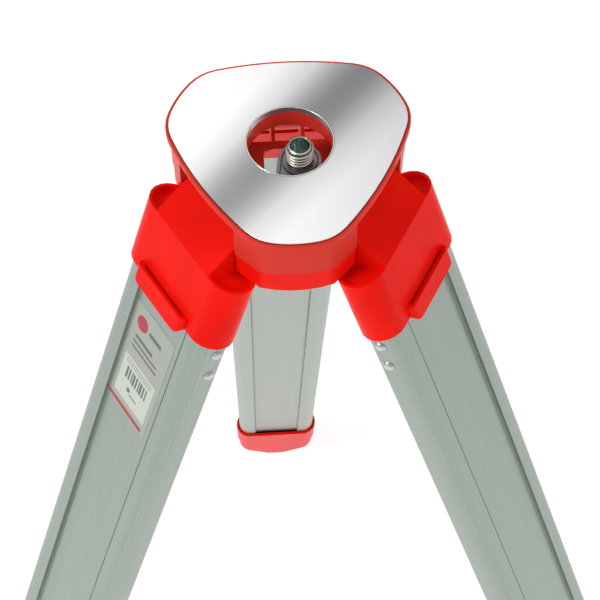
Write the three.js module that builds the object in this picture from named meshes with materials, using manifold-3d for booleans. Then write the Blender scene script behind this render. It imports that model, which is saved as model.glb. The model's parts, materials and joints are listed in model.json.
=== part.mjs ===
// Aluminium tripod with a flat head for a laser or optical level.
// Millimetres, +Z up. Three legs hinge under a lobed head that carries a 5/8 inch centring screw.
// Each leg is drawn about its own centre line: X across the leg, Y out from the tripod, Z up the leg,
// with Z at 0 level with its hinge.

import * as THREE from 'three';
import { mergeVertices } from 'three/addons/utils/BufferGeometryUtils.js';
import Module from 'manifold-3d';

const wasm = await Module();
wasm.setup();

// Clearances
const fitGap = 0.3;             // between pieces that touch
const lapDepth = 1;             // how far joined or cutting forms run past each other
const fineSteps = 48;           // sides of a large round, of an ordinary one, of a pin and of a small screw
const roundSteps = 24;
const pinSteps = 16;
const screwSteps = 12;

// Head plate
const capRadius = 70;           // the three broad ends are arcs about the centre
const sideInset = 12.7;         // the middle of a side lies this far inside that circle
const sideBow = 207;            // radius of each gently bowed side
const shoulderRadius = 26;      // blend between an end and a side
const plateThickness = 4;
const holeRadius = 24;          // centre hole
const plateScrewCircle = 50;    // radius of the circle that the plate screws stand on
const plateScrewRadius = 2;
const plateScrewHeadRadius = 4;
const plateScrewDepth = 2.4;    // thread inside the plate
const plateScrewHeadHeight = 3;
const plateScrewBevel = 1;

// Head body
const lipOverhang = 1.8;        // red rim outside the plate
const lipTop = -1;
const lipBottom = -5.4;
const wallInset = 1.7;          // broad outer face of each lobe, behind the plate's ends
const wallFaceAngle = 18;       // half angle of that face, degrees
const facetInset = 7.7;         // outer end of the slanting facet beside it
const facetAngle = 33;
const wallThickness = 4;
const stepDepth = -32;          // the wall steps in below this level
const stepInset = 0.6;
const bodyBottom = -48.4;
const deckThickness = 3.8;      // under the plate
const collarWall = 3;
const collarInset = 1;          // the collar is this much wider than the plate's hole
const collarBottom = -16.5;
const floorTop = -22;
const floorThickness = 3;
const floorBackEdge = 18;
const ribSpacing = 17;
const ribThickness = 2;
const earThickness = 4;
const stopWallThickness = 2.6;
const earSlack = 0.2;           // more room beside the bracket than the fit alone gives
const floorSlack = 1;           // round the screw's sleeve at the ends of its travel

// Leg hinges
const hingeInset = 10.6;        // hinge line, behind the middle of each side
const hingeDepth = 33;          // below the plate's top
const legStandoff = 8;          // the leg's centre line lies this far outside its hinge
const splay = 20;               // degrees from upright, legs open
const hingePinRadius = 3.5;

// Leg bracket
const blockHalfWidth = 27.5;
const knuckleRadius = 8.5;
const knuckleDrop = 5;          // the block's back runs down from the knuckle over this depth
const creaseDepth = 16.5;       // the sleeve's top, where the block's sloping top meets the outer face
const heelReach = 9.5;          // heel that meets the head when the leg is open
const heelLow = 2.5;
const heelHigh = 7;
const sleeveWall = 2.4;
const sleeveBottom = 63.5;
const pocketDepth = 4;
const pocketRim = 2;
const legSeat = 24;             // top of the tube inside the bracket
const tongueLap = 8;            // the tongues run this far past the lower rivets
const tongueInset = 3;          // and stand this far outside the web
const backPocketTop = 8;
const backPocketDepth = 9;
const backPocketFloor = 2;      // above the tube's seat
const backPocketWall = 4.5;
const backRibHalfWidth = 1.2;
const backRibSpacing = 17;

// Strap bar on the bracket
const strapHalfWidth = 21;
const strapGap = 2.2;
const strapBarRise = 8.5;       // top of the bar, above the sleeve's lower edge
const strapBarDrop = 4.5;       // bottom of the bar, below it
const strapBarThickness = 2.2;
const strapPostWidth = 4;
const strapBend = 3.5;          // where the bar turns in to the sleeve
const strapCorner = 7;

// Outer and inner leg sections
const legHalfWidth = 43;
const legHalfDepth = 11.6;
const webHalfWidth = 24;
const webInset = 2;             // the web lies this far behind the end tubes
const tubeWall = 1.5;
const outerEnd = 1166;          // hinge to the lower end of the outer tube
const innerSlack = 0.5;
const innerWall = 1.4;
const innerLength = 780;

// Rivets through the narrow ends of the tube
const rivetRadius = 3.8;
const rivetDome = 2;
const rivetDrop = 8.5;          // upper rivet, below the sleeve
const rivetSpacing = 18;
const rivetSteps = 4;

// Clamp at the foot of the outer leg
const clampLap = 40;            // over the outer tube
const clampDrop = 30;           // below it
const clampWall = 3.2;
const padHalfWidth = 12;
const padHalfHeight = 7.5;
const padThickness = 4.3;
const cheekThickness = 5;
const cheekHalfHeight = 9;
const cheekEndRadius = 6;
const leverPivotDrop = 15;      // below the outer tube
const leverPivotReach = 19.5;
const camRadius = 5.5;
const camThrow = 1.2;
const leverPinRadius = 2.5;
const leverLength = 64;
const leverThickness = 5;
const leverClear = 1.2;         // between the closed lever and the housing
const leverHeel = 2;
const leverNeck = 14;
const leverTip = 16;            // length of the kicked-out finger tip
const leverKick = 5;
const leverTipBevel = 2;

// Foot
const shoeWall = 3.4;
const shoeLap = 29.7;           // length of inner tube inside the shoe
const shoulderDrop = 17;        // shoe's shoulder, below the inner tube
const shoeDrop = 63;            // shoe's lower end, below the inner tube
const pointRadius = 7;
const pointShank = 6;
const pointSocket = 20;
const pointLength = 42;
const pointCollar = 8;
const pointWall = 2.5;
const tipRadius = 2.2;
const tipRound = 1.6;
const stepReach = 34;
const stepHalfWidth = 17;
const stepThickness = 7;
const gussetDepth = 20.4;
const gussetHalfWidth = 3;

// Centring arm and screw
const screwOffset = 5.5;        // the screw stands this far to one side, as the arm lies at rest
const armPivotReach = 40;       // centre of the head to the pivot
const armHalfWidth = 12.5;
const armNeckHalfWidth = 8;     // at the pivot end, between the hinge ears
const armShoulder = 22;         // the full width runs this far from the screw
const armThickness = 2.5;
const armRim = 1.6;
const armTop = -19;
const armTravel = 7;            // each way along the slot
const armEndWall = 3.2;         // beyond the slot
const armRimWidth = 2;
const pivotBushRadius = 4.5;
const pivotBoltRadius = 3;
const pivotHeadRadius = 6.5;
const pivotHeadHeight = 2;
const pivotNutHeight = 4;
const pivotNutGap = 1;
const bushProud = 0.1;          // the bush stands this far above the arm, so the bolt doesn't pinch it
const studRadius = 7.94;        // 5/8 inch over the thread
const studBore = 6;
const studBoreDepth = 12;
const threadPitch = 25.4 / 11;
const threadDepth = 1.3;
const threadRelief = 1;
const studBevel = 0.6;
const studTop = -4;
const shankRadius = 4.5;
const sleeveRadius = 6;
const sleeveFlangeRadius = 10;
const sleeveFlange = 1.3;
const sleeveDrop = 5;           // below the floor with the screw fully up
const screwLift = 12;
const knobRadius = 17.5;
const knobHeight = 23;
const knobLobes = 8;
const knobLobeDepth = 1.2;
const knobSocket = 8;           // solid knob below the screw's end
const knobFootBevel = 5;
const knobFootInset = 5.25;
const knobTopBevel = 3;
const knobTopInset = 4.4;
const knobFree = 0.2;           // keeps the bevels off the grip lobes
const hookWire = 1.5;
const hookRadius = 5.5;
const hookHoleDepth = 5;
const hookStem = 5;
const hookStraight = 2;

// Places that follow from the sizes above
const sideReach = capRadius - sideInset;
const wallReach = capRadius - wallInset;
const facetReach = capRadius - facetInset;
const hingeRadius = sideReach - hingeInset;
const floorBottom = floorTop - floorThickness;
const strapBarTop = sleeveBottom - strapBarRise;
const strapBarBottom = sleeveBottom + strapBarDrop;
const rivetDepths = [sleeveBottom + rivetDrop, sleeveBottom + rivetDrop + rivetSpacing];
const tongueDepth = rivetDepths[1] + tongueLap;
const tongueInnerEdge = webHalfWidth + tongueInset;
const clampTop = outerEnd - clampLap;
const clampEnd = outerEnd + clampDrop;
const leverPivotDepth = outerEnd + leverPivotDrop;
const innerEnd = clampEnd + fitGap + shoeLap;
const innerTop = innerEnd - innerLength;
const shoeShoulder = innerEnd + shoulderDrop;
const shoeEnd = innerEnd + shoeDrop;
const pointEnd = shoeEnd + pointLength;

const lobeAngles = [30, 150, 270];
const legNames = ['back', 'left', 'right'];
const legAngles = [90, 210, 330];

function paint(color, roughness, metalness) {
  return new THREE.MeshStandardMaterial({ color, roughness, metalness });
}

const redPlastic = paint(0xe8200f, 0.4, 0);
const plateMetal = paint(0xd4d6d6, 0.25, 1);
const legMetal = paint(0xaab4ac, 0.45, 0.9);
const steel = paint(0xc8c8c0, 0.3, 1);
const darkSteel = paint(0x77787a, 0.5, 0.9);
const blackPlastic = paint(0x202224, 0.6, 0);

const radians = THREE.MathUtils.degToRad;

// ---- shape helpers ----

// A closed shape from points, without points that fall on the one before.
function cleanShape(points) {
  const before = (i) => points[(i + points.length - 1) % points.length];
  const kept = points.filter((point, i) => point.distanceTo(before(i)) > 1e-3);
  return new THREE.Shape(kept);
}

function arcPoints(x, y, radius, from, to, steps) {
  const points = [];
  for (let i = 0; i <= steps; i++) {
    const angle = from + (to - from) * i / steps;
    points.push(new THREE.Vector2(x + radius * Math.cos(angle), y + radius * Math.sin(angle)));
  }
  return points;
}

function polygon(...corners) {
  return new THREE.Shape(corners.map(([x, y]) => new THREE.Vector2(x, y)));
}

function disc(radius, steps = roundSteps, x = 0, y = 0) {
  return cleanShape(arcPoints(x, y, radius, 0, 2 * Math.PI, steps));
}

// Flat-sided oval, round at both ends along X.
function oval(halfWidth, halfDepth, steps = 10) {
  const centre = halfWidth - halfDepth;
  return cleanShape([
    ...arcPoints(centre, 0, halfDepth, -Math.PI / 2, Math.PI / 2, steps),
    ...arcPoints(-centre, 0, halfDepth, Math.PI / 2, 3 * Math.PI / 2, steps),
  ]);
}

function roundedSquare(half, corner, steps = 3) {
  const points = [];
  for (let i = 0; i < 4; i++) {
    const start = i * Math.PI / 2;
    const x = (half - corner) * (i === 0 || i === 3 ? 1 : -1);
    const y = (half - corner) * (i < 2 ? 1 : -1);
    points.push(...arcPoints(x, y, corner, start, start + Math.PI / 2, steps));
  }
  return cleanShape(points);
}

// The plate's outline: broad ends, blended shoulders and bowed sides, grown by an offset.
function lobedOutline(offset) {
  const end = capRadius + offset;
  const blend = shoulderRadius + offset;
  const side = sideBow + offset;
  const sideCentre = sideBow - sideReach;
  const reach = end - blend;
  const turn = Math.acos(((side - blend) ** 2 - sideCentre ** 2 - reach ** 2) / (2 * sideCentre * reach));
  const spread = Math.PI / 3 - turn;
  const points = [];
  for (const lobe of lobeAngles.map(radians)) {
    const middle = lobe + Math.PI / 3;
    const next = lobe + 2 * Math.PI / 3 - spread;
    const x = reach * Math.cos(lobe + spread);
    const y = reach * Math.sin(lobe + spread);
    const sideX = -sideCentre * Math.cos(middle);
    const sideY = -sideCentre * Math.sin(middle);
    const lean = Math.asin(reach * Math.sin(turn) / (side - blend));
    points.push(...arcPoints(0, 0, end, lobe - spread, lobe + spread, 8));
    points.push(...arcPoints(x, y, blend, lobe + spread, middle - lean, 4));
    points.push(...arcPoints(sideX, sideY, side, middle - lean, middle + lean, 8));
    const nextX = reach * Math.cos(next);
    const nextY = reach * Math.sin(next);
    points.push(...arcPoints(nextX, nextY, blend, middle + lean, next, 4));
  }
  return cleanShape(points);
}

// The body's wall: a broad arc on each lobe with a straight facet on either side of it.
function facetedOutline(inset) {
  const points = [];
  const face = radians(wallFaceAngle);
  const corner = radians(facetAngle);
  const facet = facetReach - inset;
  for (const lobe of lobeAngles.map(radians)) {
    points.push(new THREE.Vector2(facet * Math.cos(lobe - corner), facet * Math.sin(lobe - corner)));
    points.push(...arcPoints(0, 0, wallReach - inset, lobe - face, lobe + face, 5));
    points.push(new THREE.Vector2(facet * Math.cos(lobe + corner), facet * Math.sin(lobe + corner)));
  }
  return cleanShape(points);
}

// Tube section: round end tubes joined by a web that lies a little deeper.
function legSection(inset) {
  const depth = legHalfDepth - inset;
  const web = legHalfDepth - webInset - inset;
  const step = webHalfWidth + inset;
  const centre = legHalfWidth - legHalfDepth;
  return cleanShape([
    ...arcPoints(centre, 0, depth, -Math.PI / 2, Math.PI / 2, 10),
    new THREE.Vector2(step, depth),
    new THREE.Vector2(step, web),
    new THREE.Vector2(-step, web),
    new THREE.Vector2(-step, depth),
    ...arcPoints(-centre, 0, depth, Math.PI / 2, 3 * Math.PI / 2, 10),
    new THREE.Vector2(-step, -depth),
    new THREE.Vector2(-step, -web),
    new THREE.Vector2(step, -web),
    new THREE.Vector2(step, -depth),
  ]);
}

// ---- solid helpers ----

function toSolid(geometry) {
  const bare = geometry.clone();
  bare.deleteAttribute('normal');
  bare.deleteAttribute('uv');
  const merged = mergeVertices(bare, 1e-4);
  const triVerts = new Uint32Array(merged.index.array);
  const vertProperties = merged.attributes.position.array;
  return new wasm.Manifold(new wasm.Mesh({ numProp: 3, vertProperties, triVerts }));
}

function prism(shape, low, high) {
  const geometry = new THREE.ExtrudeGeometry(shape, { depth: high - low, bevelEnabled: false });
  return toSolid(geometry.translate(0, 0, low));
}

// A side view, drawn with Y out and Z up, run across from one X to another.
function acrossPrism(shape, low, high) {
  const geometry = new THREE.ExtrudeGeometry(shape, { depth: high - low, bevelEnabled: false });
  geometry.translate(0, 0, low);
  const turn = new THREE.Matrix4().makeBasis(
    new THREE.Vector3(0, 1, 0), new THREE.Vector3(0, 0, 1), new THREE.Vector3(1, 0, 0));
  return toSolid(geometry.applyMatrix4(turn));
}

// A front view, drawn with X across and Z up, run from one Y to another.
function depthPrism(shape, low, high) {
  const geometry = new THREE.ExtrudeGeometry(shape, { depth: high - low, bevelEnabled: false });
  geometry.translate(0, 0, -high);
  return toSolid(geometry.rotateX(Math.PI / 2));
}

function block(x0, x1, y0, y1, z0, z1) {
  const geometry = new THREE.BoxGeometry(x1 - x0, y1 - y0, z1 - z0);
  return toSolid(geometry.translate((x0 + x1) / 2, (y0 + y1) / 2, (z0 + z1) / 2));
}

// Turned form from [radius, height] pairs that start and end on the axis.
function turned(profile, steps = roundSteps) {
  const points = profile.map(([radius, height]) => new THREE.Vector2(radius, height));
  const geometry = new THREE.LatheGeometry(points, steps);
  return toSolid(geometry.rotateX(Math.PI / 2));
}

function turnedAboutZ(solid, degrees) {
  return solid.rotate([0, 0, degrees]);
}

function joined(solids) {
  return solids.reduce((whole, next) => whole.add(next));
}

function toMesh(name, solid, material) {
  const { vertProperties, triVerts } = solid.getMesh();
  const geometry = new THREE.BufferGeometry();
  geometry.setAttribute('position', new THREE.BufferAttribute(vertProperties, 3));
  geometry.setIndex(new THREE.BufferAttribute(triVerts, 1));
  geometry.computeVertexNormals();
  const mesh = new THREE.Mesh(geometry, material);
  mesh.name = name;
  return mesh;
}

// ---- head ----

const bodyDeckTop = -plateThickness - fitGap;
const bodyDeckBottom = bodyDeckTop - deckThickness;
const collarRadius = holeRadius + collarInset;
const earInner = blockHalfWidth + 2 * fitGap + earSlack;
const earOuter = earInner + earThickness;
const heelAcross = heelReach * Math.cos(radians(splay)) + heelHigh * Math.sin(radians(splay));
const stopWallFace = hingeRadius - heelAcross - fitGap;

function headPlate() {
  let plate = prism(lobedOutline(0), -plateThickness, 0);
  plate = plate.subtract(prism(disc(holeRadius, fineSteps), -plateThickness - lapDepth, lapDepth));
  for (const lobe of lobeAngles.map(radians)) {
    const x = plateScrewCircle * Math.cos(lobe);
    const y = plateScrewCircle * Math.sin(lobe);
    const hole = disc(plateScrewRadius + fitGap, screwSteps, x, y);
    const holeTop = plateScrewDepth + fitGap - plateThickness;
    plate = plate.subtract(prism(hole, -plateThickness - lapDepth, holeTop));
  }
  return plate;
}

function headShell() {
  const upper = prism(facetedOutline(0), stepDepth, bodyDeckTop);
  const lower = prism(facetedOutline(stepInset), bodyBottom, stepDepth + lapDepth);
  const hollow = prism(facetedOutline(wallThickness), bodyBottom - lapDepth, bodyDeckBottom);
  const rim = prism(lobedOutline(lipOverhang), lipBottom, lipTop);
  const seat = prism(lobedOutline(fitGap), bodyDeckTop, lapDepth);
  return joined([upper.subtract(hollow), lower.subtract(hollow), rim]).subtract(seat);
}

function headFloor() {
  const outline = prism(facetedOutline(wallThickness - lapDepth), floorBottom, floorTop);
  const behind = block(-capRadius, capRadius, floorBackEdge, capRadius, bodyBottom, 0);
  return outline.subtract(behind);
}

function hingeEars() {
  const top = bodyDeckBottom + lapDepth;
  const outline = prism(facetedOutline(stepInset), bodyBottom, top);
  const inner = stopWallFace - stopWallThickness;
  const ears = [];
  for (const leg of legAngles) {
    const near = block(earInner, earOuter, inner, capRadius, bodyBottom, top);
    const far = block(-earOuter, -earInner, inner, capRadius, bodyBottom, top);
    const wall = block(-earInner, earInner, inner, stopWallFace, floorBottom, top);
    ears.push(turnedAboutZ(joined([near, far, wall]), leg - 90));
  }
  return joined(ears).intersect(outline);
}

function headBody() {
  const collar = prism(disc(collarRadius + collarWall, fineSteps), collarBottom, bodyDeckTop);
  let body = joined([headShell(), headFloor(), hingeEars(), collar]);
  const back = collarRadius + collarWall;
  const front = floorBackEdge - ribThickness;
  const half = ribThickness / 2;
  for (const x of [-ribSpacing / 2, ribSpacing / 2]) {
    body = body.add(block(x - half, x + half, front, back, floorBottom, collarBottom + lapDepth));
  }
  body = body.subtract(prism(disc(collarRadius, fineSteps), floorTop, lapDepth));
  const recessBottom = bodyBottom - lapDepth;
  const pinShape = disc(hingePinRadius + fitGap, roundSteps, hingeRadius, -hingeDepth);
  for (const leg of legAngles) {
    const recess = block(-earInner, earInner, stopWallFace, 2 * capRadius, recessBottom, lipBottom - fitGap);
    const pinHole = acrossPrism(pinShape, -earOuter - fitGap, earOuter + fitGap);
    body = body.subtract(turnedAboutZ(joined([recess, pinHole]), leg - 90));
  }
  const cutLow = floorBottom - lapDepth;
  const cutHigh = floorTop + lapDepth;
  const travel = armTravel + sleeveRadius + 2 * fitGap + floorSlack;
  body = body.subtract(prism(roundedSquare(travel, sleeveRadius), cutLow, cutHigh));
  body = body.subtract(prism(disc(pivotBoltRadius + fitGap, pinSteps, 0, -armPivotReach), cutLow, cutHigh));
  for (const lobe of lobeAngles.map(radians)) {
    const x = plateScrewCircle * Math.cos(lobe);
    const y = plateScrewCircle * Math.sin(lobe);
    const hole = disc(plateScrewRadius + fitGap, screwSteps, x, y);
    body = body.subtract(prism(hole, bodyDeckBottom - lapDepth, bodyDeckTop + lapDepth));
  }
  return body;
}

function plateScrew() {
  const headTop = bodyDeckBottom - fitGap;
  const headEnd = headTop - plateScrewHeadHeight;
  return turned([
    [0, headEnd],
    [plateScrewHeadRadius - plateScrewBevel, headEnd],
    [plateScrewHeadRadius, headEnd + plateScrewBevel],
    [plateScrewHeadRadius, headTop],
    [plateScrewRadius, headTop],
    [plateScrewRadius, plateScrewDepth - plateThickness],
    [0, plateScrewDepth - plateThickness],
  ], screwSteps);
}

// ---- centring arm and screw, drawn about the screw's own axis or the pivot ----

const armReach = Math.hypot(armPivotReach, screwOffset);
const armTurn = -THREE.MathUtils.radToDeg(Math.atan2(screwOffset, armPivotReach));
const armBottom = armTop - armThickness;
const rimTop = armTop + armRim;
const flangeBottom = armTop + fitGap;
const flangeTop = flangeBottom + sleeveFlange;
const shoulder = flangeTop + fitGap;
const sleeveEnd = floorBottom - screwLift - sleeveDrop;
const knobTop = sleeveEnd - fitGap;
const knobBottom = knobTop - knobHeight;
const screwEnd = knobBottom + knobSocket;

function armOutline(inset) {
  const front = -armTravel - pivotBushRadius - armEndWall + armNeckHalfWidth;
  const wide = armHalfWidth - inset;
  const narrow = armNeckHalfWidth - inset / 2;
  return cleanShape([
    ...arcPoints(0, armReach, wide, 0, Math.PI, 16),
    new THREE.Vector2(-wide, armReach - armShoulder),
    ...arcPoints(0, front, narrow, Math.PI, 2 * Math.PI, 12),
    new THREE.Vector2(wide, armReach - armShoulder),
  ]);
}

// Drawn with the pivot at the origin and the screw's hole on +Y.
function centringArm() {
  let arm = prism(armOutline(0), armBottom, rimTop);
  arm = arm.subtract(prism(armOutline(armRimWidth), armTop, rimTop + lapDepth));
  const slot = oval(armTravel + pivotBushRadius + fitGap, pivotBushRadius + fitGap, 8);
  arm = arm.subtract(turnedAboutZ(prism(slot, armBottom - lapDepth, rimTop), 90));
  const sleeveHole = disc(sleeveRadius + fitGap, roundSteps, 0, armReach);
  return arm.subtract(prism(sleeveHole, armBottom - lapDepth, rimTop));
}

function pivotBush() {
  const bottom = floorTop + fitGap;
  const bore = prism(disc(pivotBoltRadius + fitGap, pinSteps), bottom - lapDepth, 0);
  return prism(disc(pivotBushRadius, roundSteps), bottom, armTop + bushProud).subtract(bore);
}

function pivotBolt() {
  const headBottom = armTop + bushProud + fitGap;
  const headTop = headBottom + pivotHeadHeight;
  const bevel = pivotHeadHeight / 2;
  const end = floorBottom - pivotNutGap;
  return turned([
    [0, end - pivotNutHeight],
    [pivotHeadRadius, end - pivotNutHeight],
    [pivotHeadRadius, end],
    [pivotBoltRadius, end],
    [pivotBoltRadius, headBottom],
    [pivotHeadRadius, headBottom],
    [pivotHeadRadius, headTop - bevel],
    [pivotHeadRadius - bevel, headTop],
    [0, headTop],
  ], pinSteps);
}

function screwSleeve() {
  const outer = turned([
    [0, sleeveEnd],
    [sleeveRadius, sleeveEnd],
    [sleeveRadius, flangeBottom],
    [sleeveFlangeRadius, flangeBottom],
    [sleeveFlangeRadius, flangeTop],
    [0, flangeTop],
  ]);
  return outer.subtract(prism(disc(shankRadius + fitGap), sleeveEnd - lapDepth, flangeTop + lapDepth));
}

function centringScrew() {
  const profile = [[0, screwEnd], [shankRadius, screwEnd], [shankRadius, shoulder], [studRadius, shoulder]];
  const turns = Math.floor((studTop - shoulder - threadRelief) / threadPitch);
  const crest = threadPitch / 10;
  const flank = (threadPitch - crest) / 2;
  for (let i = 0; i < turns; i++) {
    const start = shoulder + threadRelief + i * threadPitch;
    profile.push([studRadius, start]);
    profile.push([studRadius - threadDepth, start + flank]);
    profile.push([studRadius, start + 2 * flank]);
  }
  profile.push([studRadius, studTop - studBevel], [studRadius - studBevel, studTop], [0, studTop]);
  const bore = prism(disc(studBore), studTop - studBoreDepth, studTop + lapDepth);
  return turned(profile).subtract(bore);
}

function screwKnob() {
  const points = [];
  const steps = knobLobes * 6;
  for (let i = 0; i < steps; i++) {
    const angle = 2 * Math.PI * i / steps;
    const radius = knobRadius - knobLobeDepth * (1 - Math.cos(knobLobes * angle)) / 2;
    points.push(new THREE.Vector2(radius * Math.cos(angle), radius * Math.sin(angle)));
  }
  const grip = prism(new THREE.Shape(points), knobBottom, knobTop);
  const round = turned([
    [0, knobBottom],
    [knobRadius - knobFootInset, knobBottom],
    [knobRadius + knobFree, knobBottom + knobFootBevel],
    [knobRadius + knobFree, knobTop - knobTopBevel],
    [knobRadius - knobTopInset, knobTop],
    [0, knobTop],
  ], 32);
  const bore = prism(disc(shankRadius + fitGap), screwEnd - fitGap, knobTop + lapDepth);
  const hookShape = disc(hookWire + fitGap, screwSteps);
  const hookHole = prism(hookShape, knobBottom - lapDepth, knobBottom + hookHoleDepth);
  return grip.intersect(round).subtract(bore).subtract(hookHole);
}

function plumbHook() {
  const top = knobBottom + hookHoleDepth - lapDepth;
  const centre = knobBottom - hookStem - hookRadius;
  const points = [new THREE.Vector3(0, 0, top), new THREE.Vector3(0, 0, knobBottom - hookStraight)];
  for (let i = 0; i <= 8; i++) {
    const angle = Math.PI / 2 + i * Math.PI / 6;
    points.push(new THREE.Vector3(hookRadius * Math.cos(angle), 0, centre + hookRadius * Math.sin(angle)));
  }
  const path = new THREE.CatmullRomCurve3(points);
  const section = disc(hookWire, 8);
  return toSolid(new THREE.ExtrudeGeometry(section, { steps: 30, extrudePath: path }));
}

// ---- leg bracket and hinge ----

const sleeveHalfWidth = legHalfWidth + fitGap + sleeveWall;
const sleeveHalfDepth = legHalfDepth + fitGap + sleeveWall;

// Outline that the outer tube slides into.
function tubeClearance() {
  return oval(legHalfWidth + fitGap, legHalfDepth + fitGap);
}

function bracketBlock() {
  const face = sleeveHalfDepth;
  const pin = -legStandoff;
  const reach = face - pin;
  const lean = Math.atan2(-creaseDepth, reach) + Math.acos(knuckleRadius / Math.hypot(creaseDepth, reach));
  const profile = cleanShape([
    new THREE.Vector2(face, -legSeat),
    new THREE.Vector2(face, -creaseDepth),
    ...arcPoints(pin, 0, knuckleRadius, lean, Math.PI, 12),
    new THREE.Vector2(-face, -knuckleRadius - knuckleDrop),
    new THREE.Vector2(-face, -legSeat),
  ]);
  const heelBack = pin - heelReach;
  const heel = polygon([heelBack, heelLow], [pin, 0], [pin, heelHigh], [heelBack, heelHigh]);
  let form = acrossPrism(profile, -blockHalfWidth, blockHalfWidth);
  form = form.add(acrossPrism(heel, -blockHalfWidth, blockHalfWidth));
  const rib = backRibSpacing / 2;
  const edge = blockHalfWidth - backPocketWall;
  const pockets = [
    [-edge, -rib - backRibHalfWidth],
    [backRibHalfWidth - rib, rib - backRibHalfWidth],
    [rib + backRibHalfWidth, edge],
  ];
  for (const [from, to] of pockets) {
    const low = backPocketFloor - legSeat;
    form = form.subtract(block(from, to, -face - lapDepth, backPocketDepth - face, low, -backPocketTop));
  }
  return form;
}

function bracketSleeve() {
  const half = blockHalfWidth;
  const outer = prism(oval(sleeveHalfWidth, sleeveHalfDepth), -sleeveBottom, -creaseDepth);
  const cavity = prism(tubeClearance(), -sleeveBottom - lapDepth, -legSeat);
  const rimShape = oval(sleeveHalfWidth - pocketRim, sleeveHalfDepth - pocketRim);
  const pocket = prism(rimShape, -creaseDepth - pocketDepth, lapDepth);
  const middle = block(-half, half, -legHalfWidth, legHalfWidth, -sleeveBottom, lapDepth);
  return outer.subtract(cavity).subtract(pocket.subtract(middle));
}

// A band across the leg, seen from above: straight, with both ends turned in to the sleeve.
function strapBand(half, face, bend, back) {
  return cleanShape([
    new THREE.Vector2(-half, back),
    new THREE.Vector2(half, back),
    ...arcPoints(half - bend, face - bend, bend, 0, Math.PI / 2, 5),
    ...arcPoints(bend - half, face - bend, bend, Math.PI / 2, Math.PI, 5),
  ]);
}

function strapBar() {
  const inner = sleeveHalfDepth + strapGap;
  const outer = inner + strapBarThickness;
  const back = sleeveHalfDepth - lapDepth;
  const half = strapHalfWidth + strapPostWidth;
  const innerBend = strapBend - strapBarThickness;
  const low = -strapBarBottom;
  const band = prism(strapBand(half, outer, strapBend, back), low, -strapBarTop);
  const space = strapBand(strapHalfWidth, inner, innerBend, back - lapDepth);
  const gap = prism(space, low - lapDepth, lapDepth - strapBarTop);
  const cornerX = half - strapCorner;
  const cornerZ = low + strapCorner;
  const front = depthPrism(cleanShape([
    ...arcPoints(cornerX, cornerZ, strapCorner, -Math.PI / 2, 0, 4),
    new THREE.Vector2(half, lapDepth - strapBarTop),
    new THREE.Vector2(-half, lapDepth - strapBarTop),
    ...arcPoints(-cornerX, cornerZ, strapCorner, Math.PI, 3 * Math.PI / 2, 4),
  ]), back - lapDepth, outer + lapDepth);
  return band.subtract(gap).intersect(front);
}

function bracketTongues() {
  const inner = legHalfWidth - tubeWall - innerSlack;
  const depth = legHalfDepth - tubeWall - innerSlack;
  const edge = tongueInnerEdge;
  const whole = prism(oval(inner, depth), -tongueDepth, lapDepth - legSeat);
  return whole.subtract(block(-edge, edge, -legHalfDepth, legHalfDepth, -tongueDepth - lapDepth, 0));
}

function legBracket() {
  const form = joined([bracketBlock(), bracketSleeve(), strapBar(), bracketTongues()]);
  const half = blockHalfWidth + lapDepth;
  const pinShape = disc(hingePinRadius + fitGap, roundSteps, -legStandoff);
  return form.subtract(acrossPrism(pinShape, -half, half));
}

function hingePin() {
  return acrossPrism(disc(hingePinRadius), -earOuter, earOuter);
}

// ---- tubes ----

function outerLeg() {
  return prism(legSection(0), -outerEnd, -legSeat - fitGap)
    .subtract(prism(legSection(tubeWall), -outerEnd - lapDepth, 0));
}

const innerHalfWidth = legHalfWidth - tubeWall - innerSlack;
const innerHalfDepth = legHalfDepth - webInset - tubeWall - innerSlack;

function innerLeg() {
  return prism(oval(innerHalfWidth, innerHalfDepth), -innerEnd, -innerTop)
    .subtract(prism(oval(innerHalfWidth - innerWall, innerHalfDepth - innerWall), -innerEnd - lapDepth, 0));
}

// A domed head seated on the round end of the tube, its axis along +X.
function rivet() {
  const profile = [[0, 0]];
  for (let i = 0; i < rivetSteps; i++) {
    const angle = Math.PI / 2 * i / rivetSteps;
    profile.push([rivetRadius * Math.cos(angle), rivetDome * Math.sin(angle)]);
  }
  profile.push([0, rivetDome]);
  return turned(profile, pinSteps).rotate([0, 90, 0]).translate([legHalfDepth + fitGap, 0, 0]);
}

// ---- clamp ----

const clampHalfWidth = legHalfWidth + fitGap + clampWall;
const clampHalfDepth = legHalfDepth + fitGap + clampWall;
const padInner = innerHalfDepth + 2 * fitGap;
const cheekInner = padHalfWidth + 2 * fitGap;
const cheekOuter = cheekInner + cheekThickness;
const leverFoot = clampHalfDepth + leverClear;

// Outline that the inner tube slides through.
function innerClearance() {
  return oval(innerHalfWidth + fitGap, innerHalfDepth + fitGap);
}

// A round on the lever's axis, as long as twice the half length.
function leverPinForm(radius, half) {
  return acrossPrism(disc(radius, pinSteps, leverPivotReach, -leverPivotDepth), -half, half);
}

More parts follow.
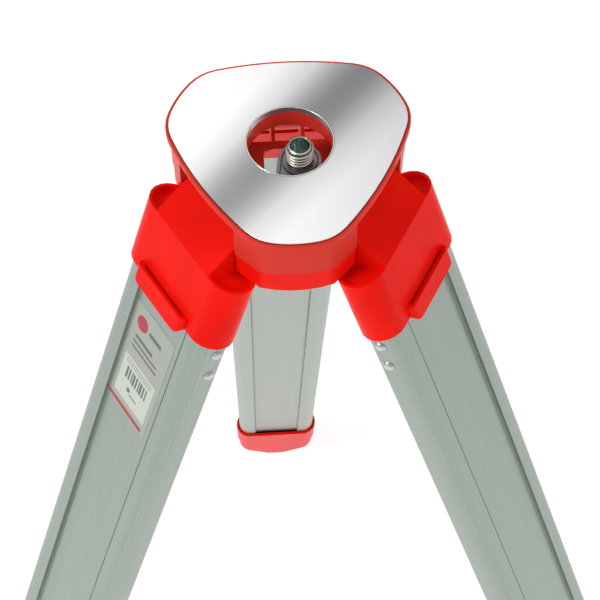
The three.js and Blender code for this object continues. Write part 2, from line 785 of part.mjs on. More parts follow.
function clampHousing() {
  const body = prism(oval(clampHalfWidth, clampHalfDepth), -clampEnd, -clampTop);
  const upper = prism(tubeClearance(), -outerEnd - fitGap, lapDepth - clampTop);
  const lower = prism(innerClearance(), -clampEnd - lapDepth, -clampTop);
  const cheekShape = cleanShape([
    ...arcPoints(leverPivotReach, -leverPivotDepth, cheekEndRadius, -Math.PI / 2, Math.PI / 2, 8),
    new THREE.Vector2(clampHalfDepth - lapDepth, cheekHalfHeight - leverPivotDepth),
    new THREE.Vector2(clampHalfDepth - lapDepth, -cheekHalfHeight - leverPivotDepth),
  ]);
  const gap = block(-cheekInner, cheekInner, clampHalfDepth, 2 * leverPivotReach, -clampEnd, -clampTop);
  const cheeks = acrossPrism(cheekShape, -cheekOuter, cheekOuter).subtract(gap);
  const wide = padHalfWidth + fitGap;
  const high = padHalfHeight + fitGap;
  const depth = clampHalfDepth + lapDepth;
  const window = block(-wide, wide, 0, depth, -leverPivotDepth - high, high - leverPivotDepth);
  const pinHole = leverPinForm(leverPinRadius + fitGap, clampHalfWidth);
  return joined([body, cheeks]).subtract(upper).subtract(lower).subtract(window).subtract(pinHole);
}

function clampPad() {
  const low = -leverPivotDepth - padHalfHeight;
  const high = padHalfHeight - leverPivotDepth;
  return block(-padHalfWidth, padHalfWidth, padInner, padInner + padThickness, low, high);
}

function clampLever() {
  const half = padHalfWidth;
  const top = leverLength - leverPivotDepth;
  const back = leverFoot + leverThickness;
  const handle = cleanShape([
    new THREE.Vector2(leverFoot, leverHeel - leverPivotDepth),
    new THREE.Vector2(leverPivotReach, -leverPivotDepth),
    new THREE.Vector2(leverPivotReach + camRadius - camThrow, -leverPivotDepth),
    new THREE.Vector2(back, leverNeck - leverPivotDepth),
    new THREE.Vector2(back, top - leverTip),
    new THREE.Vector2(back + leverKick, top - leverTipBevel / 2),
    new THREE.Vector2(back + leverTipBevel, top),
    new THREE.Vector2(leverFoot, top - leverTip + leverTipBevel),
  ]);
  const camShape = disc(camRadius, roundSteps, leverPivotReach - camThrow, -leverPivotDepth);
  const cam = acrossPrism(camShape, -half, half);
  const pinHole = leverPinForm(leverPinRadius + fitGap, 2 * half);
  return cam.add(acrossPrism(handle, -half, half)).subtract(pinHole);
}

function clampPin() {
  return leverPinForm(leverPinRadius, cheekOuter);
}

// ---- foot ----

function footShoe() {
  const top = -clampEnd - fitGap;
  const halfWidth = innerHalfWidth + fitGap + shoeWall;
  const halfDepth = innerHalfDepth + fitGap + shoeWall;
  const tipHalf = pointRadius + pointWall;
  const gussetEnd = -shoeShoulder - gussetDepth;
  const stepTop = stepThickness - shoeShoulder;
  const front = depthPrism(polygon(
    [-halfWidth, top], [-halfWidth, -shoeShoulder], [-tipHalf, -shoeEnd],
    [tipHalf, -shoeEnd], [halfWidth, -shoeShoulder], [halfWidth, top],
  ), -halfDepth - lapDepth, halfDepth + lapDepth);
  const body = prism(oval(halfWidth, halfDepth), -shoeEnd, top).intersect(front);
  const step = depthPrism(cleanShape([
    new THREE.Vector2(-stepHalfWidth, stepTop),
    new THREE.Vector2(-stepHalfWidth, -shoeShoulder),
    new THREE.Vector2(-gussetHalfWidth, gussetEnd),
    new THREE.Vector2(gussetHalfWidth, gussetEnd),
    new THREE.Vector2(stepHalfWidth, -shoeShoulder),
    new THREE.Vector2(stepHalfWidth, stepTop),
  ]), 0, stepReach);
  const gusset = acrossPrism(polygon(
    [0, stepTop], [stepReach, stepTop], [stepReach, -shoeShoulder],
    [halfDepth - lapDepth, gussetEnd], [0, gussetEnd],
  ), -stepHalfWidth, stepHalfWidth);
  const socket = prism(innerClearance(), -innerEnd - fitGap, top + lapDepth);
  const pointHole = prism(disc(pointShank + fitGap), -shoeEnd - lapDepth, pointSocket - shoeEnd);
  return joined([body, step.intersect(gusset)]).subtract(socket).subtract(pointHole);
}

function footPoint() {
  const collar = -shoeEnd - fitGap;
  return turned([
    [0, -pointEnd],
    [tipRadius / 2, tipRound / 4 - pointEnd],
    [tipRadius, tipRound - pointEnd],
    [pointRadius, collar - pointCollar],
    [pointRadius, collar],
    [pointShank, collar],
    [pointShank, pointSocket - shoeEnd - fitGap],
    [0, pointSocket - shoeEnd - fitGap],
  ]);
}

// ---- assembly ----

function buildHead(tripod) {
  tripod.add(toMesh('head_plate', headPlate(), plateMetal));
  tripod.add(toMesh('head_body', headBody(), redPlastic));
  const lobeNames = ['right', 'left', 'front'];
  lobeAngles.forEach((lobe, i) => {
    const screw = toMesh(`plate_screw_${lobeNames[i]}`, plateScrew(), steel);
    const angle = radians(lobe);
    screw.position.set(plateScrewCircle * Math.cos(angle), plateScrewCircle * Math.sin(angle), 0);
    tripod.add(screw);
  });
  const pivot = new THREE.Group();
  pivot.position.y = -armPivotReach;
  pivot.rotation.z = radians(armTurn);
  pivot.add(toMesh('centring_arm', centringArm(), darkSteel));
  pivot.add(toMesh('pivot_bush', pivotBush(), steel));
  pivot.add(toMesh('pivot_bolt', pivotBolt(), steel));
  const screw = new THREE.Group();
  screw.position.y = armReach;
  screw.add(toMesh('screw_sleeve', screwSleeve(), darkSteel));
  screw.add(toMesh('centring_screw', centringScrew(), steel));
  screw.add(toMesh('screw_knob', screwKnob(), redPlastic));
  screw.add(toMesh('plumb_hook', plumbHook(), steel));
  pivot.add(screw);
  tripod.add(pivot);
}

function buildLeg(tripod, name, angle) {
  const side = new THREE.Group();
  side.rotation.z = radians(angle - 90);
  const hinge = new THREE.Group();
  hinge.position.set(0, hingeRadius, -hingeDepth);
  hinge.rotation.x = radians(splay);
  const leg = new THREE.Group();
  leg.position.y = legStandoff;
  tripod.add(side);
  side.add(hinge);
  hinge.add(leg);
  hinge.add(toMesh(`hinge_pin_${name}`, hingePin(), steel));
  leg.add(toMesh(`leg_bracket_${name}`, legBracket(), redPlastic));
  leg.add(toMesh(`outer_leg_${name}`, outerLeg(), legMetal));
  leg.add(toMesh(`inner_leg_${name}`, innerLeg(), legMetal));
  leg.add(toMesh(`clamp_housing_${name}`, clampHousing(), redPlastic));
  leg.add(toMesh(`clamp_pad_${name}`, clampPad(), blackPlastic));
  leg.add(toMesh(`clamp_lever_${name}`, clampLever(), redPlastic));
  leg.add(toMesh(`clamp_pin_${name}`, clampPin(), steel));
  leg.add(toMesh(`foot_shoe_${name}`, footShoe(), redPlastic));
  leg.add(toMesh(`foot_point_${name}`, footPoint(), darkSteel));
  for (const edge of [-1, 1]) {
    rivetDepths.forEach((depth, i) => {
      const head = toMesh(`rivet_${name}_${edge < 0 ? 'a' : 'b'}${i + 1}`, rivet(), steel);
      head.position.set(edge * (legHalfWidth - legHalfDepth), 0, -depth);
      head.rotation.z = edge < 0 ? Math.PI : 0;
      leg.add(head);
    });
  }
}

const tripod = new THREE.Group();
buildHead(tripod);
legNames.forEach((name, i) => buildLeg(tripod, name, legAngles[i]));

// Stand the tripod on its three points, with the origin under the middle of its box.
const box = new THREE.Box3().setFromObject(tripod, true);
tripod.position.set(-(box.min.x + box.max.x) / 2, -(box.min.y + box.max.y) / 2, -box.min.z);

const group = new THREE.Group();
group.add(tripod);
export default group;
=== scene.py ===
import json
import math

import bmesh
import bpy
from mathutils import Matrix, Vector


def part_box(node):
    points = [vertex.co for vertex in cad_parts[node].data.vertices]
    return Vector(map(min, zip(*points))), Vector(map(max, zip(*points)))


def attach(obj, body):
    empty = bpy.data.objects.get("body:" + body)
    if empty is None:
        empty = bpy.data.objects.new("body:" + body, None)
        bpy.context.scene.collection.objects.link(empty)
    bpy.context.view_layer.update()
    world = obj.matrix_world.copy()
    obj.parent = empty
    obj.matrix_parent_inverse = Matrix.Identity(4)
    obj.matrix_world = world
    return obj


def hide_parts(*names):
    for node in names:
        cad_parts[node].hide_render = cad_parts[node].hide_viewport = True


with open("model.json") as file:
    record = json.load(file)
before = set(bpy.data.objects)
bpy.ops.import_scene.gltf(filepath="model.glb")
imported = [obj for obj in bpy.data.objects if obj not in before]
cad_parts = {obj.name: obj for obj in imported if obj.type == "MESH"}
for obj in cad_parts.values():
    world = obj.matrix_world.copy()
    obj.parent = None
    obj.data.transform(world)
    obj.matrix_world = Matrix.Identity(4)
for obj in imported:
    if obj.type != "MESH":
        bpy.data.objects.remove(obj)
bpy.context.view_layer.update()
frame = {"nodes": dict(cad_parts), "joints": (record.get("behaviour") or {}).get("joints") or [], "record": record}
mm = 0.001

# Places that the frame gives: the head's centre on the plate's top, and each leg's own frame, on the
# leg's centre line and level with its hinge.
plateLow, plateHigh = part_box("head_plate")
plateEndRadius = 70 * mm    # the plate's front edge, from the head's centre
legStandoff = 8 * mm        # from a leg's hinge out to its centre line
headCentre = Vector(((plateLow.x + plateHigh.x) / 2, plateLow.y + plateEndRadius, plateHigh.z))
joints = {joint["name"]: joint for joint in frame["joints"]}
bodyOfNode = {node: body for body, nodes in frame["record"]["behaviour"]["bodies"].items() for node in nodes}
slotOfNode = {row["node"]: row["material_slot"] for row in frame["record"]["subparts"]}
legNames = ["back", "left", "right"]


def legFrame(name):
    # X across the leg, Y out of its outer face, Z up the leg
    across = Vector(joints["leg_hinge_" + name]["axis"]).normalized()
    up = -Vector(joints["leg_extend_" + name]["axis"]).normalized()
    out = up.cross(across)
    place = Matrix((across, out, up)).transposed().to_4x4()
    place.translation = Vector(joints["leg_hinge_" + name]["pos_m"]) + out * legStandoff
    return place


# Camera, set by its target under the head's centre, the direction it looks from and its distance.
cameraSettings = {
    "target": (-0.7, -106, 0),      # from the head's centre, mm
    "azimuth": -3.17,               # degrees
    "elevation": 56.57,
    "roll": -0.32,
    "distance": 954,                # mm
    "lens": 109.3,
    "sensor": 36,
    "clip": (0.05, 50),             # m
}


def makeCamera(settings):
    data = bpy.data.cameras.new("camera")
    data.lens = settings["lens"]
    data.sensor_width = settings["sensor"]
    data.clip_start, data.clip_end = settings["clip"]
    camera = bpy.data.objects.new("camera", data)
    bpy.context.scene.collection.objects.link(camera)
    turn = math.radians(settings["azimuth"])
    rise = math.radians(settings["elevation"])
    back = Vector((math.sin(turn) * math.cos(rise), -math.cos(turn) * math.cos(rise), math.sin(rise)))
    target = headCentre + Vector(settings["target"]) * mm
    camera.location = target + back * settings["distance"] * mm
    aim = (-back).to_track_quat("-Z", "Y").to_matrix().to_4x4()
    camera.rotation_euler = (aim @ Matrix.Rotation(math.radians(settings["roll"]), 4, "Z")).to_euler()
    bpy.context.scene.camera = camera


# Studio: a pale floor, an even white surround and soft boxes.
studioSettings = {
    "surround": 0.46,
    "floorSize": 60,        # m
    "floorColour": "#F6F6F6",
    "floorRoughness": 0.9,
    "floorGlow": 0.5,       # the floor is lit through, as a light table is, so it stays pale
    "lights": [
        # name, place from the head's centre (m), size (m), power (W), seen in reflections
        ("keyLight", (-1.6, -0.7, 1.3), 0.8, 25, True),
        ("fillLight", (1.7, -1.1, 1.0), 1.0, 13, False),
        ("topLight", (-0.5, 1.4, 1.9), 1.4, 6, True),
    ],
}


def linear(hexColour):
    # an sRGB hex value as linear light
    channels = [int(hexColour[i:i + 2], 16) / 255 for i in (1, 3, 5)]
    curve = [c / 12.92 if c <= 0.04045 else ((c + 0.055) / 1.055) ** 2.4 for c in channels]
    return (*curve, 1)


def addNode(tree, kind, settings=None, links=None):
    # settings: socket names or numbers to values, and properties by attribute name
    node = tree.nodes.new(kind)
    for key, value in (settings or {}).items():
        if isinstance(key, str) and hasattr(node, key) and key not in node.inputs:
            setattr(node, key, value)
        else:
            node.inputs[key].default_value = value
    for key, source in (links or {}).items():
        tree.links.new(source, node.inputs[key])
    return node


def newMaterial(name):
    material = bpy.data.materials.new(name)
    material.use_nodes = True
    tree = material.node_tree
    tree.nodes.clear()
    output = addNode(tree, "ShaderNodeOutputMaterial")
    shader = addNode(tree, "ShaderNodeBsdfPrincipled")
    tree.links.new(shader.outputs["BSDF"], output.inputs["Surface"])
    return material, tree, shader


def ramp(tree, factor, stops):
    node = addNode(tree, "ShaderNodeValToRGB", links={"Fac": factor})
    band = node.color_ramp
    while len(band.elements) < len(stops):
        band.elements.new(0.5)
    for element, (position, colour) in zip(band.elements, stops):
        element.position = position
        element.color = linear(colour)
    return node.outputs["Color"]


def perMetre(millimetres):
    return 1000 / millimetres


def waveScale(period):
    # a wave texture at scale 1 repeats 20 times in every 2 pi of its coordinate
    return perMetre(period) * 2 * math.pi / 20


# Moulded red nylon: semi-gloss, with a faint spark-eroded grain and slow tone changes from the mould.
nylonSettings = {
    "colour": "#F01409",
    "shade": "#E61107",
    "light": "#F81A0C",
    "roughness": (0.28, 0.4),   # from grain to grain
    "specular": 0.045,      # the matt mould skin throws back less than a polished face
    "grain": 0.9,           # mm; real grain is about 0.1 mm, drawn coarser so that it shows
    "grainDepth": 0.03,     # mm
    "toneSize": 45,         # mm
}
nylonIor = 1.53


def mouldedNylon(name, settings, lines=None):
    # lines: fine tool lines round a wall, and the wall above a step in it painted a paler red, a painted sheen of
    # reflected light
    material, tree, shader = newMaterial(name)
    place = addNode(tree, "ShaderNodeTexCoord").outputs["Object"]
    tone = addNode(tree, "ShaderNodeTexNoise", {"Scale": perMetre(settings["toneSize"]), "Detail": 2.0},
                   {"Vector": place})
    colour = ramp(tree, tone.outputs["Fac"],
                  [(0.3, settings["shade"]), (0.5, settings["colour"]), (0.7, settings["light"])])
    grain = addNode(tree, "ShaderNodeTexNoise", {"Scale": perMetre(settings["grain"]), "Detail": 3.0},
                    {"Vector": place})
    height = grain.outputs["Fac"]
    if lines:
        wave = addNode(tree, "ShaderNodeTexWave",
                       {"Scale": waveScale(lines["spacing"]), "Distortion": 0.0,
                        "bands_direction": "Z"}, {"Vector": place})
        height = addNode(tree, "ShaderNodeMath", {"operation": "ADD"},
                         {0: grain.outputs["Fac"], 1: wave.outputs["Fac"]}).outputs[0]
        level = addNode(tree, "ShaderNodeSeparateXYZ", links={"Vector": place}).outputs["Z"]
        # the wall above the step is painted a paler red: painted sheen of reflected light
        above = addNode(tree, "ShaderNodeMath",
                        {"operation": "GREATER_THAN", 1: headCentre.z - lines["depth"] * mm}, {0: level})
        colour = addNode(tree, "ShaderNodeMixRGB", {"Color2": linear(lines["paintedSheen"])},
                         {"Fac": above.outputs[0], "Color1": colour}).outputs["Color"]
    bump = addNode(tree, "ShaderNodeBump", {"Strength": 0.5, "Distance": settings["grainDepth"] * mm},
                   {"Height": height})
    gloss = addNode(tree, "ShaderNodeMapRange",
                    {"To Min": settings["roughness"][0], "To Max": settings["roughness"][1]},
                    {"Value": grain.outputs["Fac"]})
    shader.inputs["IOR"].default_value = nylonIor
    shader.inputs["Specular IOR Level"].default_value = settings["specular"]
    shader.inputs["Metallic"].default_value = 0.0
    tree.links.new(colour, shader.inputs["Base Color"])
    tree.links.new(gloss.outputs["Result"], shader.inputs["Roughness"])
    tree.links.new(bump.outputs["Normal"], shader.inputs["Normal"])
    return material


# Extruded aluminium, etched and clear anodised: a grey-green satin with faint lines along the draw, and a dark
# line of painted shade along each edge of the web.
extrusionSettings = {
    "colour": "#A4AEA6",
    "dark": "#9EA8A0",
    "light": "#AAB4AC",
    "roughness": (0.38, 0.5),   # from line to line
    "lineWidth": 0.6,       # mm across the leg; real draw lines are about 0.1 mm, drawn coarser
    "lineLength": 200,      # mm
    "lineDepth": 0.006,     # mm
    "mottle": 1.2,          # mm, the etched crystals
    "mottleShare": 0.35,    # against the lines
    "seam": 24,             # mm from the leg's middle to the web's edge, where a painted shade line runs
    "seamWidth": 0.9,       # mm
    # colour of the painted shade line along the web's edges
    "seamShade": "#5A6864",
}


def legPlace(tree, name):
    # coordinates in the leg's own frame, so that the draw lines run down it
    place = addNode(tree, "ShaderNodeTexCoord").outputs["Object"]
    across = Vector(joints["leg_hinge_" + name]["axis"])
    turn = math.atan2(across.y, across.x)
    down = Vector(joints["leg_extend_" + name]["axis"])
    splay = math.acos(max(-1, min(1, -down.z)))
    square = addNode(tree, "ShaderNodeMapping", {"Rotation": (0, 0, -turn)}, {"Vector": place})
    return addNode(tree, "ShaderNodeMapping", {"Rotation": (-splay, 0, 0)},
                   {"Vector": square.outputs["Vector"]}).outputs["Vector"]


def seamShadeShare(tree, place, settings, leg):
    # 1 in a fine line of painted shade along each edge of the web, 0 elsewhere
    across = Vector(joints["leg_hinge_" + leg]["axis"]).normalized()
    middle = across.dot(Vector(joints["leg_hinge_" + leg]["pos_m"]))
    side = addNode(tree, "ShaderNodeSeparateXYZ", links={"Vector": place}).outputs["X"]
    shift = addNode(tree, "ShaderNodeMath", {"operation": "SUBTRACT", 1: middle}, {0: side})
    reach = addNode(tree, "ShaderNodeMath", {"operation": "ABSOLUTE"}, {0: shift.outputs[0]})
    seam = (settings["seam"] + settings["seamWidth"] / 2) * mm
    return addNode(tree, "ShaderNodeMath",
                   {"operation": "COMPARE", 1: seam, 2: settings["seamWidth"] / 2 * mm},
                   {0: reach.outputs[0]}).outputs[0]


def extrudedAluminium(name, settings, leg):
    material, tree, shader = newMaterial(name)
    place = legPlace(tree, leg)
    stretch = settings["lineWidth"] / settings["lineLength"]
    drawn = addNode(tree, "ShaderNodeMapping", {"Scale": (1, 1, stretch)}, {"Vector": place})
    lines = addNode(tree, "ShaderNodeTexNoise", {"Scale": perMetre(settings["lineWidth"]), "Detail": 2.0},
                    {"Vector": drawn.outputs["Vector"]})
    mottle = addNode(tree, "ShaderNodeTexNoise", {"Scale": perMetre(settings["mottle"]), "Detail": 3.0},
                     {"Vector": place})
    both = addNode(tree, "ShaderNodeMath", {"operation": "MULTIPLY_ADD", 1: settings["mottleShare"]},
                   {0: mottle.outputs["Fac"], 2: lines.outputs["Fac"]})
    colour = ramp(tree, both.outputs[0],
                  [(0.5, settings["dark"]), (0.68, settings["colour"]), (0.85, settings["light"])])
    # a dark line of painted shade along each edge of the web
    colour = addNode(tree, "ShaderNodeMixRGB", {"Color2": linear(settings["seamShade"])},
                     {"Fac": seamShadeShare(tree, place, settings, leg), "Color1": colour}).outputs["Color"]
    bump = addNode(tree, "ShaderNodeBump", {"Strength": 0.4, "Distance": settings["lineDepth"] * mm},
                   {"Height": both.outputs[0]})
    gloss = addNode(tree, "ShaderNodeMapRange",
                    {"To Min": settings["roughness"][0], "To Max": settings["roughness"][1]},
                    {"Value": lines.outputs["Fac"]})
    shader.inputs["Metallic"].default_value = 1.0
    tree.links.new(colour, shader.inputs["Base Color"])
    tree.links.new(gloss.outputs["Result"], shader.inputs["Roughness"])
    tree.links.new(bump.outputs["Normal"], shader.inputs["Normal"])
    return material


# Bead-blasted and clear-coated aluminium plate: fine sparkle, with soft light and dark bands painted into its
# colour as painted reflection of the studio.
plateSettings = {
    "light": "#F6F6F6",
    "middle": "#DBDBDB",
    "dark": "#909192",
    "roughness": 0.3,
    "bandWidth": 112,       # mm from one dark band to the next
    "bandAngle": 47,        # degrees from across
    "driftSize": 160,       # mm, how slowly the bands wander
    "driftShare": 0.3,
    "grain": 0.8,           # mm; the real blasting is about 0.15 mm, drawn coarser so that it shows
    "grainDepth": 0.03,     # mm
}


def blastedPlate(name, settings):
    material, tree, shader = newMaterial(name)
    place = addNode(tree, "ShaderNodeTexCoord").outputs["Object"]
    centred = addNode(tree, "ShaderNodeMapping",
                      {"vector_type": "TEXTURE", "Location": headCentre,
                       "Rotation": (0, 0, math.radians(settings["bandAngle"]))}, {"Vector": place})
    drift = addNode(tree, "ShaderNodeTexNoise", {"Scale": perMetre(settings["driftSize"]), "Detail": 1.0},
                    {"Vector": place})
    # light and dark bands in the plate's colour: painted reflection
    band = addNode(tree, "ShaderNodeTexWave",
                   {"Scale": waveScale(settings["bandWidth"]), "Distortion": 0.0,
                    "bands_direction": "Y"}, {"Vector": centred.outputs["Vector"]})
    soft = addNode(tree, "ShaderNodeMath", {"operation": "MULTIPLY_ADD", 1: settings["driftShare"]},
                   {0: drift.outputs["Fac"], 2: band.outputs["Fac"]})
    colour = ramp(tree, soft.outputs[0],
                  [(0.12, settings["dark"]), (0.5, settings["middle"]), (0.95, settings["light"])])
    grain = addNode(tree, "ShaderNodeTexNoise", {"Scale": perMetre(settings["grain"]), "Detail": 2.0},
                    {"Vector": place})
    bump = addNode(tree, "ShaderNodeBump", {"Strength": 0.6, "Distance": settings["grainDepth"] * mm},
                   {"Height": grain.outputs["Fac"]})
    shader.inputs["Metallic"].default_value = 1.0
    shader.inputs["Roughness"].default_value = settings["roughness"]
    tree.links.new(colour, shader.inputs["Base Color"])
    tree.links.new(bump.outputs["Normal"], shader.inputs["Normal"])
    return material


# Bright metals with a faint cloudiness: burnished aluminium on the hole's rim, blue zinc on pins and
# rivets, dull zinc on the arm. Grain in mm, and roughness from cloud to cloud.
metalSettings = {
    "burnished": {"colour": "#DCDAD0", "roughness": (0.12, 0.28), "grain": 0.5},
    "blueZinc": {"colour": "#C4C7C8", "roughness": (0.24, 0.4), "grain": 0.6},
    "dullZinc": {"colour": "#8C8E90", "roughness": (0.39, 0.55), "grain": 1.0},
}
cloudDepth = 0.01 * mm


def cloudedMetal(name, settings):
    material, tree, shader = newMaterial(name)
    place = addNode(tree, "ShaderNodeTexCoord").outputs["Object"]
    grain = addNode(tree, "ShaderNodeTexNoise", {"Scale": perMetre(settings["grain"]), "Detail": 3.0},
                    {"Vector": place})
    gloss = addNode(tree, "ShaderNodeMapRange",
                    {"To Min": settings["roughness"][0], "To Max": settings["roughness"][1]},
                    {"Value": grain.outputs["Fac"]})
    bump = addNode(tree, "ShaderNodeBump", {"Strength": 0.25, "Distance": cloudDepth},
                   {"Height": grain.outputs["Fac"]})
    shader.inputs["Metallic"].default_value = 1.0
    shader.inputs["Base Color"].default_value = linear(settings["colour"])
    tree.links.new(gloss.outputs["Result"], shader.inputs["Roughness"])
    tree.links.new(bump.outputs["Normal"], shader.inputs["Normal"])
    return material


# Nickel-plated stud: the bore is painted a darker grey and the roots of the thread near black, both as painted
# shade.
studSettings = {
    "plating": "#F2F1E4",
    # painted shade inside the bore
    "bore": "#8FA3A4",
    # painted shade in the roots of the thread
    "rootShade": "#2E2820",
    "roughness": (0.15, 0.35),  # from cloud to cloud
    "wear": 0.7,            # mm, size of the clouds
    "boreEdge": 5.7,        # distances from the screw's axis, mm
    "rootEdge": 6.75,
    "flankEdge": 7.55,
    "reach": 10,            # mm that the colour ramp covers
    "blend": 0.1,           # mm over which one finish gives way to the next
}


def threadedStud(name, settings):
    material, tree, shader = newMaterial(name)
    place = addNode(tree, "ShaderNodeTexCoord").outputs["Object"]
    low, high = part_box("centring_screw")
    middle = ((low.x + high.x) / 2, (low.y + high.y) / 2, 0)
    flat = addNode(tree, "ShaderNodeMapping", {"vector_type": "POINT", "Scale": (1, 1, 0)}, {"Vector": place})
    radius = addNode(tree, "ShaderNodeVectorMath", {"operation": "DISTANCE", 1: middle},
                     {0: flat.outputs["Vector"]})
    share = addNode(tree, "ShaderNodeMath", {"operation": "MULTIPLY", 1: perMetre(settings["reach"])},
                    {0: radius.outputs["Value"]})
    blend = settings["blend"]
    # the bore and the thread's roots are painted darker as painted shade
    edges = [(settings["boreEdge"] - 2 * blend, "bore"), (settings["boreEdge"] + blend, "plating"),
             (settings["rootEdge"] - blend, "plating"), (settings["rootEdge"], "rootShade"),
             (settings["flankEdge"], "plating")]
    colour = ramp(tree, share.outputs[0],
                  [(edge / settings["reach"], settings[finish]) for edge, finish in edges])
    wear = addNode(tree, "ShaderNodeTexNoise", {"Scale": perMetre(settings["wear"]), "Detail": 3.0},
                   {"Vector": place})
    gloss = addNode(tree, "ShaderNodeMapRange",
                    {"To Min": settings["roughness"][0], "To Max": settings["roughness"][1]},
                    {"Value": wear.outputs["Fac"]})
    bump = addNode(tree, "ShaderNodeBump", {"Strength": 0.2, "Distance": cloudDepth},
                   {"Height": wear.outputs["Fac"]})
    shader.inputs["Metallic"].default_value = 1.0
    tree.links.new(colour, shader.inputs["Base Color"])
    tree.links.new(gloss.outputs["Result"], shader.inputs["Roughness"])
    tree.links.new(bump.outputs["Normal"], shader.inputs["Normal"])
    return material


# Moulded black nylon on the clamp pads: matt, with a coarse grain.
blackSettings = {"colour": "#202224", "shade": "#191B1C", "light": "#2A2C2E", "roughness": (0.55, 0.67),
                 "specular": 0.4, "grain": 0.8, "grainDepth": 0.04, "toneSize": 20}

# Printed foil and its inks: thin, smooth and a little glossy.
labelInks = {"foil": "#A9ADA2", "white": "#C4C8BC", "grey": "#858C87", "red": "#A8262B", "dark": "#5C6563"}
inkSettings = {"fibre": 1.5, "roughness": (0.3, 0.42)}     # fibre in mm


def printedInk(name, colour, metallic):
    material, tree, shader = newMaterial(name)
    place = addNode(tree, "ShaderNodeTexCoord").outputs["Object"]
    fibre = addNode(tree, "ShaderNodeTexNoise", {"Scale": perMetre(inkSettings["fibre"]), "Detail": 2.0},
                    {"Vector": place})
    gloss = addNode(tree, "ShaderNodeMapRange",
                    {"To Min": inkSettings["roughness"][0], "To Max": inkSettings["roughness"][1]},
                    {"Value": fibre.outputs["Fac"]})
    shader.inputs["Base Color"].default_value = linear(colour)
    shader.inputs["Metallic"].default_value = metallic
    tree.links.new(gloss.outputs["Result"], shader.inputs["Roughness"])
    return material


makeCamera(cameraSettings)
print("camera made")

# Tool lines on the head's wall: spacing, and the depth of the step below the plate's top, in mm. Above the step
# the wall is painted a paler red as a painted sheen.
sideLines = {"spacing": 1.6, "depth": 32, "paintedSheen": "#D6372B"}
materials = {
    "red_plastic": mouldedNylon("mouldedNylonRed", nylonSettings),
    "ribbedRed": mouldedNylon("mouldedNylonRedLined", nylonSettings, sideLines),
    "black_plastic": mouldedNylon("mouldedNylonBlack", blackSettings),
    "plate_aluminium": blastedPlate("blastedAluminium", plateSettings),
    "plated_steel": threadedStud("nickelPlatedStud", studSettings),
    "burnishedRim": cloudedMetal("burnishedAluminium", metalSettings["burnished"]),
    "zinc_steel": cloudedMetal("blueZincSteel", metalSettings["blueZinc"]),
    "arm_steel": cloudedMetal("dullZincSteel", metalSettings["dullZinc"]),
}
legMetal = {}
for name in legNames:
    legMetal[name] = extrudedAluminium("anodisedExtrusion_" + name, extrusionSettings, name)
print("materials made")


def materialFor(node):
    if slotOfNode[node] == "leg_aluminium":
        return legMetal[node.rsplit("_", 1)[1]]
    if node == "head_body":
        return materials["ribbedRed"]
    return materials[slotOfNode[node]]


def finishPiece(mesh, name, material, body):
    # a finished mesh becomes a smooth-shaded piece that rides on its body
    for polygon in mesh.polygons:
        polygon.use_smooth = True
    piece = bpy.data.objects.new(name, mesh)
    bpy.context.scene.collection.objects.link(piece)
    mesh.materials.append(material)
    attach(piece, body)
    return piece


# Most CAD pieces get a finished copy, with flats merged and edges eased by a fine radius. The stud and the
# rivets are made anew further down, and the bush and the plumb hook keep their CAD mesh.
edgeRadius = {      # mm, by the start of the node's name
    "head_plate": 0.3,
    "head_body": 0.45,
    "leg_bracket": 0.8,
    "outer_leg": 0.3,
    "inner_leg": 0.3,
    "clamp_housing": 0.8,
    "clamp_lever": 0.8,
    "clamp_pad": 0.4,
    "foot_shoe": 0.9,
    "foot_point": 0.3,
    "centring_arm": 0.3,
    "screw_knob": 0.6,
    "screw_sleeve": 0.2,
    "pivot_bolt": 0.25,
    "plate_screw": 0.2,
    "hinge_pin": 0.4,
    "clamp_pin": 0.3,
}
mergeDistance = 0.002 * mm
flatAngle = math.radians(0.5)
softAngle = math.radians(34)    # edges that turn less stay as they are
edgeSteps = 3
flatWeight = 90                 # how firmly the big flats keep their own shading


def easedCopy(node, radius):
    form = bmesh.new()
    form.from_mesh(frame["nodes"][node].data)
    bmesh.ops.remove_doubles(form, verts=form.verts, dist=mergeDistance)
    bmesh.ops.dissolve_limit(form, angle_limit=flatAngle, verts=form.verts, edges=form.edges)
    mesh = bpy.data.meshes.new(node + "_finished")
    form.to_mesh(mesh)
    form.free()
    mesh.materials.clear()
    piece = finishPiece(mesh, node + "_finished", materialFor(node), bodyOfNode[node])
    bevel = piece.modifiers.new("easedEdges", "BEVEL")
    bevel.width = radius * mm
    bevel.segments = edgeSteps
    bevel.limit_method = "ANGLE"
    bevel.angle_limit = softAngle
    bevel.use_clamp_overlap = True
    flats = piece.modifiers.new("flatFaces", "WEIGHTED_NORMAL")
    flats.mode = "FACE_AREA"
    flats.weight = flatWeight
    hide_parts(node)
    return piece


eased = []
for node in frame["nodes"]:
    found = [radius for start, radius in edgeRadius.items() if node.startswith(start)]
    if found:
        eased.append(easedCopy(node, found[0]))
    elif not node.startswith("rivet") and node != "centring_screw":
        shown = frame["nodes"][node]
        shown.data.materials.clear()
        shown.data.materials.append(materialFor(node))
print("eased pieces:", len(eased))


# Lathe: a profile of (radius, height) in mm spun about Z, then placed. A tag marks what is already placed.
def lathe(form, profile, steps, place):
    verts = [form.verts.new((radius * mm, 0, height * mm)) for radius, height in profile]
    edges = [form.edges.new(pair) for pair in zip(verts, verts[1:])]
    bmesh.ops.spin(form, geom=verts + edges, cent=(0, 0, 0), axis=(0, 0, 1), angle=2 * math.pi,
                   steps=steps, use_merge=True)
    made = [v for v in form.verts if not v.tag]
    bmesh.ops.remove_doubles(form, verts=made, dist=mergeDistance)
    made = [v for v in form.verts if not v.tag]
    bmesh.ops.transform(form, matrix=place, verts=made)
    for v in made:
        v.tag = True


def finishForm(form, name, material, body):
    bmesh.ops.recalc_face_normals(form, faces=form.faces)
    mesh = bpy.data.meshes.new(name)
    form.to_mesh(mesh)
    form.free()
    return finishPiece(mesh, name, material, body)


